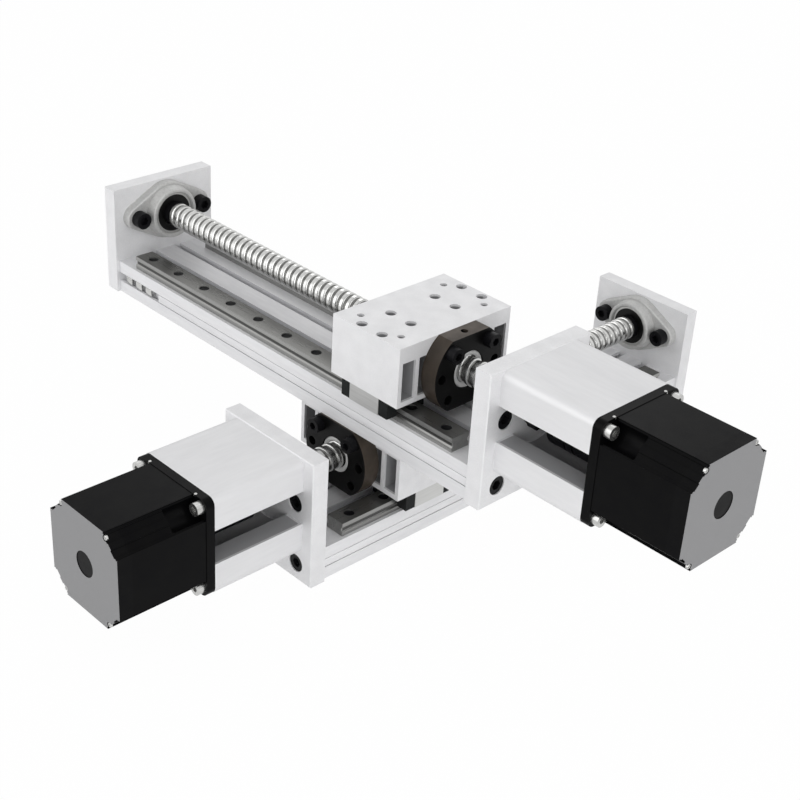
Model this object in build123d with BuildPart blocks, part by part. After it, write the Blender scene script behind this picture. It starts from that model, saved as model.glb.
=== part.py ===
"""Cross slide table: two equal ball screw slide modules, one bolted across the carriage of the other.

Every piece is drawn in the frame of its own module: x runs along the travel towards the motor, y runs
across, z is up from the underside of the base, and x = 0 is midway between the end plates.  Each module
is then set in the assembly, whose origin is the middle of the lower base's underside.
"""

from build123d import *
from collections import namedtuple
import math
import os

# Base extrusion
base_length = 300.0
base_width = 68.0
base_height = 20.0
slot_offset = 9.0
slot_mouth = 4.6
slot_lip = 1.8
slot_width = 8.4
slot_depth = 3.0
side_slot_mouth = 5.6
side_slot_depth = 2.4
screw_channel_offset = 24.0
chamber_width = 5.0
chamber_height = 9.0
chamber_offset = 17.4

# Rails and rail blocks
rail_spacing = 52.0
rail_width = 12.0
rail_height = 8.0
rail_waist = 0.8
rail_waist_low = 3.2
rail_head_height = 2.4
rail_end_gap = 15.0
rail_hole_pitch = 25.0
rail_hole_margin = 8.0
rail_bore = 3.5
rail_counterbore = 6.0
rail_counterbore_depth = 4.5
block_width = 27.0
block_length = 21.7
block_lift = 3.0
block_rise = 13.0
block_cap_length = 6.5
block_cap_step = 0.4
block_pattern_across = 20.0
block_pattern_along = 15.0
block_thread_depth = 3.4
rail_side_clearance = 0.3
rail_top_clearance = 0.5

# Ball screw and nut
screw_height = 47.0
screw_diameter = 15.0
rear_journal_diameter = 10.0
front_journal_diameter = 12.0
nose_diameter = 10.0
nut_flange_diameter = 48.0
nut_flange_thickness = 10.0
nut_flats = 40.0
nut_body_diameter = 28.0
nut_body_length = 40.0
nut_screw_circle = 38.0
nut_screw_angle = 45.0
nut_clearance = 0.3
nut_recess_diameter = 21.0
nut_recess_depth = 2.0
oil_hole_diameter = 4.0
oil_hole_depth = 5.0
nut_body_fit = 0.1

# Carriage
carriage_length = 50.0
carriage_width = 80.0
carriage_roof = 9.0
carriage_floor = 3.0
carriage_boss_width = 22.0
carriage_boss_drop = 5.0
outer_pocket_width = 9.0
inner_pocket_width = 8.0
pocket_wall = 2.5
access_hole_diameter = 6.0
table_pattern_across = 60.0
table_pattern_along = 30.0
carriage_to_front_plate = 47.0

# End plates
plate_width = 72.0
plate_thickness = 10.0
plate_chamfer = 0.5
rear_plate_margin = 1.0
front_plate_margin = 0.5
rear_shaft_hole = 16.0
rear_shaft_inset = 2.0

# Rear flange bearing
housing_width = 36.0
housing_bolt_spacing = 45.0
housing_ear_radius = 7.5
housing_ear_thickness = 5.5
housing_height = 12.0
housing_hub_diameter = 33.0
housing_taper = 8.0
insert_diameter = 26.0
insert_width = 9.0
insert_inset = 1.5
insert_inner_diameter = 14.5
insert_inner_length = 13.0
ring_clearance = 0.3
housing_edge_radius = 1.0
housing_mouth_chamfer = 0.8

# Front bearings, cover and lock nut
bearing_diameter = 24.0
bearing_width = 6.0
bearing_gap = 0.1
bearing_inner_diameter = 17.0
bearing_lip = 2.0
bearing_lip_diameter = 20.0
cover_thickness = 6.0
cover_height = 34.0
cover_ear_radius = 6.5
lock_nut_across_flats = 19.0
lock_nut_thickness = 6.0
lock_nut_boss_diameter = 16.0

# Coupling, bracket and motor
coupling_diameter = 25.0
coupling_length = 30.0
coupling_gap = 4.0
coupling_slit = 1.0
coupling_slit_reach = 8.0
coupling_slit_pitch = 2.4
bracket_length = 56.0
bracket_radius = 4.0
window_height = 20.0
motor_size = 57.0
motor_length = 56.0
motor_screw_inset = 4.93
motor_flange_hole = 5.0
motor_flange_thickness = 5.0
motor_flange_radius = 4.5
motor_body_inset = 0.3
motor_corner_leg = 10.5
motor_corner_depth = 0.9
motor_groove_width = 4.2
motor_groove_offset = 3.9
motor_groove_depth = 0.8
motor_pocket_radius = 6.6
motor_pocket_length = 9.0
motor_cover_thickness = 8.0
motor_notch_radius = 1.6
motor_notch_depth = 1.2
motor_notch_inset_across = 9.4
motor_notch_inset_up = 2.9
motor_pilot_diameter = 38.1
motor_pilot_height = 1.6
pilot_fit = 0.1
shaft_diameter = 8.0
shaft_reach = 22.0
shaft_end_inset = 4.0
shaft_end_room = 1.0
rotor_diameter = 30.0
rotor_length = 34.0
rear_disc_diameter = 14.0
rear_disc_depth = 0.8

# Cross mounting: the lower carriage's centre, along the upper module from the middle of its base
crossing_place = 53.0

# Socket head screws: thread, head width, head height, key width, key depth
Screw = namedtuple("Screw", "thread head height key depth")
M3 = Screw(3.0, 5.5, 3.0, 2.5, 1.3)
M4 = Screw(4.0, 7.0, 4.0, 3.0, 2.0)
M5 = Screw(5.0, 8.5, 5.0, 4.0, 2.5)
M6 = Screw(6.0, 10.0, 6.0, 5.0, 3.0)
hole_slack = 0.4
counterbore_slack = 0.5
thread_grip = 12.0
cover_grip = 5.0
rail_screw_grip = 4.5
cross_screw_grip = 5.5

# Levels and places that follow
block_top = base_height + block_rise
carriage_top = screw_height + nut_flats / 2
carriage_height = carriage_top - block_top
rear_plate_height = screw_height + housing_width / 2 + rear_plate_margin
front_plate_height = screw_height + motor_size / 2 + front_plate_margin
rear_face = -base_length / 2
front_face = base_length / 2
bracket_start = front_face + plate_thickness
motor_face = bracket_start + bracket_length
motor_end = motor_face + motor_length
body_start = motor_face + motor_flange_thickness
body_end = motor_end - motor_cover_thickness
carriage_place = front_face - carriage_to_front_plate - carriage_length / 2
nut_face = carriage_length / 2 + nut_flange_thickness
rail_length = base_length - 2 * rail_end_gap
rail_hole_count = int((rail_length - 2 * rail_hole_margin) // rail_hole_pitch) + 1
front_bearing_end = bracket_start - bearing_lip
front_bearing_start = front_bearing_end - 2 * bearing_width - bearing_gap
cover_recess = front_face - front_bearing_start
lock_nut_end = bracket_start + lock_nut_thickness
insert_inner_end = rear_face + insert_inset + insert_inner_length
motor_side = motor_size - 2 * motor_body_inset
motor_screw_spacing = motor_size - 2 * motor_screw_inset
motor_corner_width = motor_corner_leg * math.sqrt(2)
motor_ridge_place = (motor_side - motor_corner_leg) * math.sqrt(0.5) - motor_corner_depth
shaft_tip = motor_face - shaft_reach
nose_end = shaft_tip - coupling_gap
coupling_middle = (shaft_tip + nose_end) / 2

Module = namedtuple("Module", "name plane open_side")
modules = [
    Module("lower", Plane(origin=(0, 0, 0), x_dir=(0, -1, 0), z_dir=(0, 0, 1)), 1),
    Module("upper", Plane(origin=(-crossing_place, -carriage_place, carriage_top)), -1),
]


def across(x):
    """The plane square to the travel at x, with its own x across and its own y up."""
    return Plane(origin=(x, 0, 0), x_dir=(0, 1, 0), z_dir=(1, 0, 0))


def on_axis(x, facing=1):
    """The plane square to the screw's axis at x, centred on that axis and facing along the travel."""
    return Plane(origin=(x, 0, screw_height), x_dir=(0, facing, 0), z_dir=(facing, 0, 0))


def write(piece, module, name, shift=0.0):
    """Label one piece, set it in the assembly and write it."""
    piece.part.label = f"{module.name}_{name}"
    place = module.plane.location * Location((shift, 0, 0))
    export_step(piece.part.moved(place), f"parts/{piece.part.label}.step")


def socket_screw(size, length, keyed=True):
    """A socket head cap screw: its head stands up from z = 0 and its shank hangs below."""
    with BuildPart() as screw:
        with BuildSketch():
            Circle(size.head / 2)
        extrude(amount=size.height)
        with BuildSketch():
            Circle(size.thread / 2)
        extrude(amount=-length)
        if keyed:
            with BuildSketch(Plane.XY.offset(size.height)):
                RegularPolygon(size.key / 2, 6, major_radius=False)
            extrude(amount=-size.depth, mode=Mode.SUBTRACT)
    return screw.part


def corners(across_spacing, up_spacing):
    """The four corners of a rectangle about a plane's origin."""
    return GridLocations(across_spacing, up_spacing, 2, 2)


def rail_hole_places():
    """The places of the screw holes along a rail."""
    return GridLocations(rail_hole_pitch, rail_spacing, rail_hole_count, 2)


def base_extrusion(crossed):
    """The T-slotted base, with the four cross mounting holes on the module that is bolted across."""
    with BuildPart() as base:
        with BuildSketch(across(rear_face)):
            with Locations((0, base_height / 2)):
                Rectangle(base_width, base_height)
            for level, inward in ((0, 1), (base_height, -1)):
                with Locations(
                    (-slot_offset, level + inward * slot_lip / 2),
                    (slot_offset, level + inward * slot_lip / 2),
                ):
                    Rectangle(slot_mouth, slot_lip, mode=Mode.SUBTRACT)
                with Locations(
                    (-slot_offset, level + inward * (slot_lip + slot_depth / 2)),
                    (slot_offset, level + inward * (slot_lip + slot_depth / 2)),
                ):
                    Rectangle(slot_width, slot_depth, mode=Mode.SUBTRACT)
            for side in (-1, 1):
                with Locations((side * (base_width / 2 - slot_lip / 2), base_height / 2)):
                    Rectangle(slot_lip, side_slot_mouth, mode=Mode.SUBTRACT)
                with Locations((side * (base_width / 2 - slot_lip - side_slot_depth / 2), base_height / 2)):
                    Rectangle(side_slot_depth, slot_width, mode=Mode.SUBTRACT)
                with Locations((side * screw_channel_offset, base_height / 2)):
                    Circle(M6.thread / 2, mode=Mode.SUBTRACT)
                with Locations((side * chamber_offset, base_height / 2)):
                    Rectangle(chamber_width, chamber_height, mode=Mode.SUBTRACT)
        extrude(amount=base_length)
        with Locations(Plane.XY.offset(base_height)):
            with rail_hole_places():
                Hole(M3.thread / 2, depth=rail_screw_grip)
        if crossed:
            with Locations((crossing_place, 0, base_height)):
                with corners(table_pattern_across, table_pattern_along):
                    CounterBoreHole(
                        radius=(M4.thread + hole_slack) / 2,
                        counter_bore_radius=(M4.head + counterbore_slack) / 2,
                        counter_bore_depth=M4.height + counterbore_slack,
                        depth=base_height,
                    )
    return base


def rail(side):
    """One guide rail, waisted for its balls, with its counterbored holes."""
    middle = side * rail_spacing / 2
    top = base_height + rail_height
    waist_low = base_height + rail_waist_low
    waist_high = top - rail_head_height
    with BuildPart() as guide:
        with BuildSketch(across(-rail_length / 2)):
            with BuildLine():
                flank = Polyline(
                    (middle, base_height),
                    (middle + rail_width / 2, base_height),
                    (middle + rail_width / 2, waist_low - rail_waist),
                    (middle + rail_width / 2 - rail_waist, waist_low),
                    (middle + rail_width / 2 - rail_waist, waist_high - rail_waist),
                    (middle + rail_width / 2, waist_high),
                    (middle + rail_width / 2, top),
                    (middle, top),
                )
                mirror(flank, about=Plane.YZ.offset(middle))
            make_face()
        extrude(amount=rail_length)
        with Locations((0, middle, top)):
            with GridLocations(rail_hole_pitch, 0, rail_hole_count, 1):
                CounterBoreHole(
                    radius=rail_bore / 2,
                    counter_bore_radius=rail_counterbore / 2,
                    counter_bore_depth=rail_counterbore_depth,
                    depth=rail_height,
                )
    return guide


def rail_screws():
    """The screws of both rails, each head at the bottom of its counterbore."""
    seat = base_height + rail_height - rail_counterbore_depth
    length = rail_height - rail_counterbore_depth + rail_screw_grip
    with BuildPart() as screws:
        with Locations((0, 0, seat)):
            with rail_hole_places():
                add(socket_screw(M3, length, keyed=False))
    return screws


def block_section(side, step):
    """The section of a rail block, open below over its rail."""
    low = base_height + block_lift
    top = block_top - step
    mouth_top = base_height + rail_height + rail_top_clearance
    with Locations((side * rail_spacing / 2, (low + top) / 2)):
        Rectangle(block_width - 2 * step, top - low)
    with Locations((side * rail_spacing / 2, (low + mouth_top) / 2)):
        Rectangle(rail_width + 2 * rail_side_clearance, mouth_top - low, mode=Mode.SUBTRACT)


def rail_block(side):
    """The steel body of one rail block."""
    with BuildPart() as block:
        with BuildSketch(across(-block_length / 2)):
            block_section(side, 0.0)
        extrude(amount=block_length)
        with Locations((0, side * rail_spacing / 2, block_top)):
            with GridLocations(block_pattern_along, block_pattern_across, 2, 2):
                Hole(M3.thread / 2, depth=block_thread_depth)
    return block


def rail_block_caps():
    """The moulded end caps of both rail blocks."""
    with BuildPart() as caps:
        for side in (-1, 1):
            for start in (-block_length / 2 - block_cap_length, block_length / 2):
                with BuildSketch(across(start)):
                    block_section(side, block_cap_step)
                extrude(amount=block_cap_length)
    return caps


def rail_block_screws():
    """The eight screws that hold the carriage's floor on the rail blocks."""
    with BuildPart() as screws:
        for side in (-1, 1):
            with Locations((0, side * rail_spacing / 2, block_top + carriage_floor)):
                with GridLocations(block_pattern_along, block_pattern_across, 2, 2):
                    add(socket_screw(M3, carriage_floor + block_thread_depth))
    return screws


def carriage_body():
    """The carriage: an extruded block with side pockets, bored for the nut and drilled from above."""
    pocket_low = block_top + carriage_floor
    pocket_high = carriage_top - carriage_roof
    pocket_middle = (pocket_low + pocket_high) / 2
    outer_place = carriage_width / 2 - pocket_wall - outer_pocket_width / 2
    inner_place = outer_place - outer_pocket_width / 2 - pocket_wall - inner_pocket_width / 2
    with BuildPart() as carriage:
        with BuildSketch(across(-carriage_length / 2)):
            with Locations((0, (block_top + carriage_top) / 2)):
                Rectangle(carriage_width, carriage_height)
            with Locations((0, block_top - carriage_boss_drop / 2)):
                Rectangle(carriage_boss_width, carriage_boss_drop)
            for side in (-1, 1):
                with Locations((side * outer_place, pocket_middle)):
                    Rectangle(outer_pocket_width, pocket_high - pocket_low, mode=Mode.SUBTRACT)
                with Locations((side * inner_place, pocket_middle)):
                    Rectangle(inner_pocket_width, pocket_high - pocket_low, mode=Mode.SUBTRACT)
            with Locations((0, screw_height)):
                Circle(nut_body_diameter / 2 + nut_body_fit, mode=Mode.SUBTRACT)
        extrude(amount=carriage_length)
        for side in (-1, 1):
            with Locations((0, side * rail_spacing / 2, carriage_top)):
                with GridLocations(block_pattern_along, block_pattern_across, 2, 2):
                    CounterBoreHole(
                        radius=M3.thread / 2,
                        counter_bore_radius=access_hole_diameter / 2,
                        counter_bore_depth=carriage_height - carriage_floor,
                        depth=carriage_height,
                    )
        with Locations((0, 0, carriage_top)):
            with corners(table_pattern_along, table_pattern_across):
                Hole(M4.thread / 2, depth=carriage_roof)
        with Locations(on_axis(carriage_length / 2)):
            for angle in nut_screw_angles():
                with PolarLocations(nut_screw_circle / 2, 1, angle):
                    Hole(M5.thread / 2, depth=thread_grip)
    return carriage


def nut_screw_angles():
    """The nut flange's two upper screws, where the carriage is solid between its bore and its pockets."""
    return (nut_screw_angle, 180.0 - nut_screw_angle)


def ball_nut():
    """The flanged ball nut: a round flange with two flats, its body running back into the carriage."""
    with BuildPart() as nut:
        with BuildSketch(on_axis(carriage_length / 2)):
            Circle(nut_flange_diameter / 2)
            Rectangle(nut_flange_diameter, nut_flats, mode=Mode.INTERSECT)
        extrude(amount=nut_flange_thickness)
        with BuildSketch(on_axis(carriage_length / 2)):
            Circle(nut_body_diameter / 2)
        extrude(amount=-nut_body_length)
        with BuildSketch(on_axis(nut_face)):
            Circle(screw_diameter / 2 + nut_clearance)
        extrude(amount=-(nut_flange_thickness + nut_body_length), mode=Mode.SUBTRACT)
        with BuildSketch(on_axis(nut_face)):
            Circle(nut_recess_diameter / 2)
        extrude(amount=-nut_recess_depth, mode=Mode.SUBTRACT)
        with Locations(on_axis(nut_face)):
            for half_turn in (0.0, 180.0):
                for angle in (-nut_screw_angle, 0.0, nut_screw_angle):
                    with PolarLocations(nut_screw_circle / 2, 1, half_turn + angle):
                        Hole((M5.thread + hole_slack) / 2, depth=nut_flange_thickness)
        oil_hole_place = carriage_length / 2 + nut_flange_thickness / 2
        with Locations((oil_hole_place, 0, carriage_top)):
            Hole(oil_hole_diameter / 2, depth=oil_hole_depth)
    return nut


def nut_screws():
    """The screws of the nut's flange."""
    with BuildPart() as screws:
        with Locations(on_axis(nut_face)):
            for angle in nut_screw_angles():
                with PolarLocations(nut_screw_circle / 2, 1, angle):
                    add(socket_screw(M5, nut_flange_thickness + thread_grip))
    return screws


def rear_plate():
    """The plain end plate, which carries the flange bearing on its inner face."""
    with BuildPart() as plate:
        with BuildSketch(across(rear_face)):
            with Locations((0, rear_plate_height / 2)):
                Rectangle(plate_width, rear_plate_height)
        extrude(amount=-plate_thickness)
        chamfer(plate.faces().sort_by(Axis.X)[0].edges(), plate_chamfer)
        with Locations(on_axis(rear_face)):
            Hole(rear_shaft_hole / 2, depth=plate_thickness)
            with GridLocations(housing_bolt_spacing, 0, 2, 1):
                Hole(M6.thread / 2, depth=plate_thickness)
        with Locations(on_axis(rear_face - plate_thickness, facing=-1)):
            base_screw_holes()
    return plate


def base_screw_holes():
    """The counterbored holes for the screws into the base's screw channels."""
    with Locations((0, base_height / 2 - screw_height)):
        with GridLocations(2 * screw_channel_offset, 0, 2, 1):
            CounterBoreHole(
                radius=(M6.thread + hole_slack) / 2,
                counter_bore_radius=(M6.head + counterbore_slack) / 2,
                counter_bore_depth=M6.height + counterbore_slack,
                depth=plate_thickness,
            )


def front_plate():
    """The motor side end plate: bored for the bearings, with the bracket's screws let into its inner face."""
    with BuildPart() as plate:
        with BuildSketch(across(front_face)):
            with Locations((0, front_plate_height / 2)):
                Rectangle(plate_width, front_plate_height)
        extrude(amount=plate_thickness)
        chamfer(plate.faces().sort_by(Axis.X)[-1].edges(), plate_chamfer)
        with Locations(on_axis(bracket_start)):
            Hole(bearing_lip_diameter / 2, depth=plate_thickness)
            with GridLocations(housing_bolt_spacing, 0, 2, 1):
                CounterBoreHole(
                    radius=(M6.thread + hole_slack) / 2,
                    counter_bore_radius=(M6.head + counterbore_slack) / 2,
                    counter_bore_depth=M6.height + counterbore_slack,
                    depth=plate_thickness,
                )
            base_screw_holes()
        with Locations(on_axis(front_face, facing=-1)):
            Hole(bearing_diameter / 2, depth=plate_thickness - bearing_lip)
            with corners(motor_screw_spacing, motor_screw_spacing):
                CounterBoreHole(
                    radius=(M5.thread + hole_slack) / 2,
                    counter_bore_radius=(M5.head + counterbore_slack) / 2,
                    counter_bore_depth=M5.height + counterbore_slack,
                    depth=plate_thickness,
                )
    return plate


def frame_screws(crossed):
    """The screws that hold the frame: plates to base, bracket to plate, bearing cover, and cross mounting."""
    plate_seat = plate_thickness - M6.height - counterbore_slack
    bracket_seat = plate_thickness - M5.height - counterbore_slack
    channel_drop = base_height / 2 - screw_height
    with BuildPart() as screws:
        with Locations(on_axis(rear_face - plate_seat, facing=-1), on_axis(front_face + plate_seat)):
            with Locations((0, channel_drop)):
                with GridLocations(2 * screw_channel_offset, 0, 2, 1):
                    add(socket_screw(M6, plate_seat + thread_grip))
        with Locations(on_axis(front_face + plate_seat)):
            with GridLocations(housing_bolt_spacing, 0, 2, 1):
                add(socket_screw(M6, plate_seat + cover_grip))
        with Locations(on_axis(bracket_start - bracket_seat, facing=-1)):
            with corners(motor_screw_spacing, motor_screw_spacing):
                add(socket_screw(M5, bracket_seat + thread_grip))
        if crossed:
            seat = base_height - M4.height - counterbore_slack
            with Locations((crossing_place, 0, seat)):
                with corners(table_pattern_across, table_pattern_along):
                    add(socket_screw(M4, seat + cross_screw_grip))
    return screws


def flange_outline(width, ear_radius):
    """A diamond flange: a round middle drawn out to an ear at each bolt."""
    Circle(width / 2)
    with GridLocations(housing_bolt_spacing, 0, 2, 1):
        Circle(ear_radius)
    make_hull()


def flange_bearing_housing():
    """The cast housing of the rear bearing: a diamond flange under a tapered hub."""
    with BuildPart() as housing:
        with BuildSketch(on_axis(rear_face)):
            flange_outline(housing_width, housing_ear_radius)
        extrude(amount=housing_ear_thickness)
        with BuildSketch(on_axis(rear_face + housing_ear_thickness)):
            Circle(housing_hub_diameter / 2)
        extrude(amount=housing_height - housing_ear_thickness, taper=housing_taper)
        hub_face = housing.faces().sort_by(Axis.X)[-1]
        ear_face = housing.faces().filter_by(Plane.YZ).group_by(Axis.X)[1][0]
        fillet(hub_face.edges() + ear_face.outer_wire().edges(), housing_edge_radius)
        with Locations(on_axis(rear_face + housing_height)):
            Hole(insert_diameter / 2, depth=housing_height)
        chamfer(housing.faces().sort_by(Axis.X)[-1].inner_wires()[0].edges(), housing_mouth_chamfer)
        with Locations(on_axis(rear_face + housing_ear_thickness)):
            with GridLocations(housing_bolt_spacing, 0, 2, 1):
                Hole((M6.thread + hole_slack) / 2, depth=housing_ear_thickness)
    return housing


def ring(start, length, outer, inner):
    """A plain ring about the screw's axis."""
    with BuildPart() as band:
        with BuildSketch(on_axis(start)):
            Circle(outer / 2)
            Circle(inner / 2, mode=Mode.SUBTRACT)
        extrude(amount=length)
    return band


def flange_bearing_outer_ring():
    """The outer ring and seal of the rear bearing."""
    inner = insert_inner_diameter + 2 * ring_clearance
    return ring(rear_face + insert_inset, insert_width, insert_diameter, inner)


def flange_bearing_inner_ring():
    """The inner ring of the rear bearing, which turns with the screw."""
    return ring(rear_face + insert_inset, insert_inner_length, insert_inner_diameter, rear_journal_diameter)


def flange_bolts():
    """The two bolts of the flange bearing."""
    with BuildPart() as bolts:
        with Locations(on_axis(rear_face + housing_ear_thickness)):
            with GridLocations(housing_bolt_spacing, 0, 2, 1):
                add(socket_screw(M6, housing_ear_thickness + plate_thickness))
    return bolts


def ball_screw():
    """The screw: its threaded length between a rear journal and a stepped front journal."""
    with BuildPart() as screw:
        for start, end, diameter in (
            (rear_face - plate_thickness + rear_shaft_inset, insert_inner_end, rear_journal_diameter),
            (insert_inner_end, front_bearing_start, screw_diameter),
            (front_bearing_start, lock_nut_end, front_journal_diameter),
            (lock_nut_end, nose_end, nose_diameter),
        ):
            with BuildSketch(on_axis(start)):
                Circle(diameter / 2)
            extrude(amount=end - start)
    return screw


def front_bearing_rings(outer, inner):
    """One ring of each of the two front bearings, side by side."""
    with BuildPart() as rings:
        for index in range(2):
            with BuildSketch(on_axis(front_bearing_start + index * (bearing_width + bearing_gap))):
                Circle(outer / 2)
                Circle(inner / 2, mode=Mode.SUBTRACT)
            extrude(amount=bearing_width)
    return rings


def bearing_cover():
    """The cover that holds the front bearings in the plate, screwed on from the motor side."""
    with BuildPart() as cover:
        with BuildSketch(on_axis(front_face)):
            flange_outline(cover_height, cover_ear_radius)
        extrude(amount=-cover_thickness)
        with Locations(on_axis(front_face)):
            Hole(bearing_lip_diameter / 2, depth=cover_thickness)
            Hole(bearing_diameter / 2, depth=cover_recess)
            with GridLocations(housing_bolt_spacing, 0, 2, 1):
                Hole(M6.thread / 2, depth=cover_grip)
    return cover


def lock_nut():
    """The nut that clamps the inner rings against the screw's shoulder."""
    with BuildPart() as nut:
        with BuildSketch(on_axis(bracket_start)):
            RegularPolygon(lock_nut_across_flats / 2, 6, major_radius=False)
        extrude(amount=lock_nut_thickness)
        with BuildSketch(on_axis(bracket_start)):
            Circle(lock_nut_boss_diameter / 2)
        extrude(amount=-bearing_lip)
        with Locations(on_axis(lock_nut_end)):
            Hole(front_journal_diameter / 2, depth=lock_nut_thickness + bearing_lip)
    return nut


def shaft_coupling():
    """The slit coupling between the screw's nose and the motor shaft."""
    start = coupling_middle - coupling_length / 2
    end = coupling_middle + coupling_length / 2
    with BuildPart() as coupling:
        with BuildSketch(on_axis(start)):
            Circle(coupling_diameter / 2)
        extrude(amount=coupling_length)
        chamfer(coupling.edges().filter_by(GeomType.CIRCLE), plate_chamfer)
        with Locations(on_axis(start, facing=-1)):
            Hole(nose_diameter / 2, depth=coupling_length / 2)
        with Locations(on_axis(end)):
            Hole(shaft_diameter / 2, depth=coupling_length / 2)
        for index in range(4):
            place = coupling_middle + (index - 1.5) * coupling_slit_pitch
            lean = coupling_slit_reach if index % 2 else -coupling_slit_reach
            with BuildSketch(on_axis(place - coupling_slit / 2)):
                with Locations((lean, 0)):
                    Rectangle(coupling_diameter, coupling_diameter)
            extrude(amount=coupling_slit, mode=Mode.SUBTRACT)
    return coupling


def motor_bracket(open_side):
    """The square bracket between the plate and the motor, open along one side for the coupling."""
    with BuildPart() as bracket:
        with BuildSketch(on_axis(bracket_start)):
            RectangleRounded(motor_size, motor_size, bracket_radius)
            Circle(motor_pilot_diameter / 2 + pilot_fit, mode=Mode.SUBTRACT)
            with Locations((open_side * motor_size / 2, 0)):
                Rectangle(motor_size, window_height, mode=Mode.SUBTRACT)
        extrude(amount=bracket_length)
        with Locations(on_axis(motor_face)):
            with corners(motor_screw_spacing, motor_screw_spacing):
                Hole(M4.thread / 2, depth=thread_grip)
        with Locations(on_axis(bracket_start, facing=-1)):
            with corners(motor_screw_spacing, motor_screw_spacing):
                Hole(M5.thread / 2, depth=thread_grip)
    return bracket


def motor_outline():
    """The motor body's section: a square whose corners are cut back to a low ridge between two grooves."""
    Rectangle(motor_side, motor_side)
    with PolarLocations(motor_ridge_place, 4, start_angle=45):
        Rectangle(motor_side, motor_corner_width, align=(Align.MIN, Align.CENTER), mode=Mode.SUBTRACT)
    with PolarLocations(motor_ridge_place - motor_groove_depth, 4, start_angle=45):
        with GridLocations(0, 2 * motor_groove_offset, 1, 2):
            Rectangle(motor_side, motor_groove_width, align=(Align.MIN, Align.CENTER), mode=Mode.SUBTRACT)


def motor_flange():
    """The motor's square front flange with its round pilot."""
    with BuildPart() as flange:
        with BuildSketch(on_axis(motor_face)):
            RectangleRounded(motor_size, motor_size, motor_flange_radius)
        extrude(amount=motor_flange_thickness)
        with BuildSketch(on_axis(motor_face)):
            Circle(motor_pilot_diameter / 2)
        extrude(amount=-motor_pilot_height)
        with Locations(on_axis(body_start)):
            Hole(shaft_diameter / 2 + ring_clearance, depth=motor_flange_thickness + motor_pilot_height)
            with corners(motor_screw_spacing, motor_screw_spacing):
                Hole(motor_flange_hole / 2, depth=motor_flange_thickness)
    return flange


def motor_body():
    """The stator housing, bored for the rotor, with a pocket round each flange screw's head."""
    with BuildPart() as body:
        with BuildSketch(on_axis(body_start)):
            motor_outline()
            Circle(rotor_diameter / 2 + ring_clearance, mode=Mode.SUBTRACT)
        extrude(amount=body_end - body_start)
        with Locations(on_axis(body_start + motor_pocket_length)):
            with corners(motor_screw_spacing, motor_screw_spacing):
                Hole(motor_pocket_radius, depth=motor_pocket_length)
    return body


def motor_end_cover():
    """The motor's rear cover, with a shallow round recess over the shaft's end and a notch at each corner."""
    with BuildPart() as cover:
        with BuildSketch(on_axis(body_end)):
            motor_outline()
        extrude(amount=motor_cover_thickness)
        with Locations(on_axis(motor_end)):
            Hole(rear_disc_diameter / 2, depth=rear_disc_depth)
            with corners(
                motor_side - 2 * motor_notch_inset_across,
                motor_side - 2 * motor_notch_inset_up,
            ):
                Hole(motor_notch_radius, depth=motor_notch_depth)
        with Locations(on_axis(body_end, facing=-1)):
            room = motor_cover_thickness - shaft_end_inset + shaft_end_room
            Hole(shaft_diameter / 2 + ring_clearance, depth=room)
    return cover


def motor_shaft():
    """The motor's shaft with its rotor."""
    rotor_start = (body_start + body_end - rotor_length) / 2
    with BuildPart() as shaft:
        with BuildSketch(on_axis(shaft_tip)):
            Circle(shaft_diameter / 2)
        extrude(amount=motor_end - shaft_end_inset - shaft_tip)
        with BuildSketch(on_axis(rotor_start)):
            Circle(rotor_diameter / 2)
        extrude(amount=rotor_length)
    return shaft


def motor_screws():
    """The four screws through the motor's flange into the bracket."""
    with BuildPart() as screws:
        with Locations(on_axis(body_start)):
            with corners(motor_screw_spacing, motor_screw_spacing):
                add(socket_screw(M4, motor_flange_thickness + thread_grip))
    return screws


os.makedirs("parts", exist_ok=True)

fixed_pieces = {
    "rail_left": rail(1),
    "rail_right": rail(-1),
    "rail_screws": rail_screws(),
    "rear_plate": rear_plate(),
    "front_plate": front_plate(),
    "flange_bearing_housing": flange_bearing_housing(),
    "flange_bearing_outer_ring": flange_bearing_outer_ring(),
    "flange_bolts": flange_bolts(),
    "front_bearing_outer_rings": front_bearing_rings(
        bearing_diameter, bearing_inner_diameter + 2 * ring_clearance
    ),
    "bearing_cover": bearing_cover(),
    "motor_flange": motor_flange(),
    "motor_body": motor_body(),
    "motor_end_cover": motor_end_cover(),
    "motor_screws": motor_screws(),
}
turning_pieces = {
    "ball_screw": ball_screw(),
    "flange_bearing_inner_ring": flange_bearing_inner_ring(),
    "front_bearing_inner_rings": front_bearing_rings(bearing_inner_diameter, front_journal_diameter),
    "lock_nut": lock_nut(),
    "shaft_coupling": shaft_coupling(),
    "motor_shaft": motor_shaft(),
}
sliding_pieces = {
    "carriage": carriage_body(),
    "rail_block_left": rail_block(1),
    "rail_block_right": rail_block(-1),
    "rail_block_caps": rail_block_caps(),
    "rail_block_screws": rail_block_screws(),
    "ball_nut": ball_nut(),
    "nut_screws": nut_screws(),
}

for module in modules:
    crossed = module.name == "upper"
    write(base_extrusion(crossed), module, "base_extrusion")
    write(frame_screws(crossed), module, "frame_screws")
    write(motor_bracket(module.open_side), module, "motor_bracket")
    for name, piece in {**fixed_pieces, **turning_pieces}.items():
        write(piece, module, name)
    for name, piece in sliding_pieces.items():
        write(piece, module, name, shift=carriage_place)
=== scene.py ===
"""Dresses the xy cross slide table: a finish on every solid, and the pieces of fine form.

Each module is modelled in its own frame, in metres: x runs along its travel towards the motor, y runs
across and z is up from the underside of its base.  The meshes are then set where the module stands.
"""

import logging
import math
from collections.abc import Callable, Iterable, Iterator
from contextlib import contextmanager
from dataclasses import dataclass, field, replace
from enum import Enum
from typing import TypeAlias

import bmesh
import bpy
from mathutils import Matrix, Vector


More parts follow.
